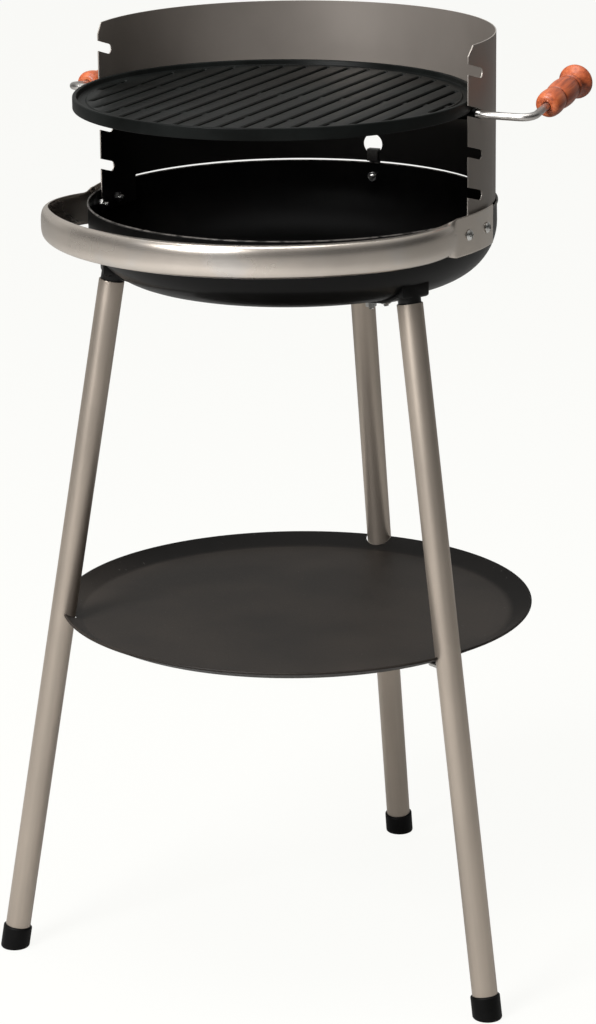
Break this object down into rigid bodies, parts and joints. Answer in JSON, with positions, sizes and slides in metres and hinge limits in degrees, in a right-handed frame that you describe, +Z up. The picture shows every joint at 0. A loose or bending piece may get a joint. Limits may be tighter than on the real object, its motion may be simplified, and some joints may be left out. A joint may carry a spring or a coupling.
{
  "type": "portable round grill",
  "caption": "Portable round charcoal grill with a shallow bowl, a notched curved windshield, a slotted plate on wooden-handled rods, a front rail, splayed tube legs and a round tray.",
  "frame": {"origin": "on the floor, in the middle of the object's footprint box", "axes": "+Z up; +Y towards the rear leg and the closed back of the windshield; -Y the open front, where the rail and the plate face the cook"},
  "size_m": [0.4714, 0.4786, 0.814],
  "materials": {
    "bowl_enamel": "black enamel, semi-gloss",
    "shield_paint": "dark brown-grey heat-resistant paint, satin",
    "strap_steel": "dark paint, satin",
    "rail_silver": "silver paint, satin with metallic sheen",
    "leg_silver": "champagne silver paint, satin",
    "plate_iron": "black enamelled casting, semi-gloss, fine cast grain",
    "rod_steel": "plated steel, slightly dulled",
    "grip_wood": "turned reddish-brown wood, varnished",
    "bracket_paint": "black paint, semi-gloss",
    "foot_plastic": "black moulded plastic, matte",
    "tray_paint": "dark grey-brown paint, matte, faintly speckled",
    "zinc_steel": "zinc-plated steel"
  },
  "bodies": {
    "stand": {"fire_bowl": "bowl_enamel", "windshield": "shield_paint", "rear_strap": "strap_steel", "front_rail": "rail_silver", "storage_tray": "tray_paint", "tray_pins": "zinc_steel", "strap_screw": "zinc_steel", "strap_nut": "zinc_steel", "rail_screws": "zinc_steel", "rail_nuts": "zinc_steel", "bracket_bolts": "zinc_steel", "bracket_nuts": "zinc_steel", "leg_bracket_rear": "bracket_paint", "leg_bracket_left": "bracket_paint", "leg_bracket_right": "bracket_paint", "leg_tube_rear": "leg_silver", "leg_tube_left": "leg_silver", "leg_tube_right": "leg_silver", "foot_cap_rear": "foot_plastic", "foot_cap_left": "foot_plastic", "foot_cap_right": "foot_plastic"},
    "plate": {"grill_plate": "plate_iron", "handle_rod_left": "rod_steel", "handle_rod_right": "rod_steel", "wooden_grip_left": "grip_wood", "wooden_grip_right": "grip_wood"}
  },
  "joints": [
    {"name": "plate_slide", "type": "slide", "parent": "stand", "child": "plate", "axis": [0, -0.9659, 0.2588], "range_m": [0, 0.36]}
  ]
}
